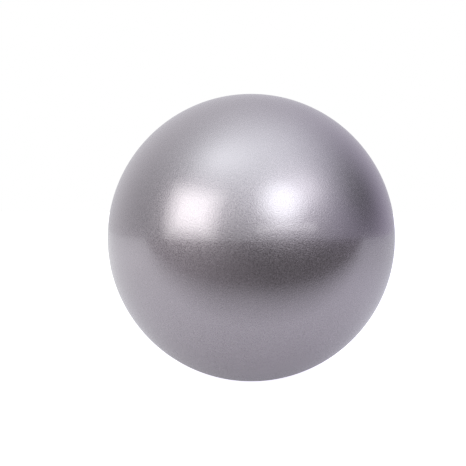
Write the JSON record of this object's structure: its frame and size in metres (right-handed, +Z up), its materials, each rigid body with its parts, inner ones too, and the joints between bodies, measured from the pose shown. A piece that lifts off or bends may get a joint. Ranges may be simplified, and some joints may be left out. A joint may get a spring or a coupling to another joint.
{
  "type": "exercise ball",
  "caption": "Small inflated exercise ball with a smooth satin skin, resting on a small flat patch, with a flush pull-out air plug in a soft valve at the back.",
  "frame": {"origin": "centre of the flat patch that the ball rests on, on the floor", "axes": "+Z up; +Y along the valve's axis, out of the ball; +X along the parting ridge's plane, to the right when the valve faces away"},
  "size_m": [0.2504, 0.25, 0.2485],
  "materials": {
    "ball_skin": "satin",
    "valve_soft_plastic": "satin",
    "plug_plastic": "satin"
  },
  "bodies": {
    "ball": {"shell": "ball_skin", "valve_insert": "valve_soft_plastic"},
    "plug": {"valve_plug": "plug_plastic"}
  },
  "joints": [
    {"name": "plug_pull", "type": "slide", "parent": "ball", "child": "plug", "axis": [0, 1, 0], "range_m": [0, 0.03]}
  ]
}
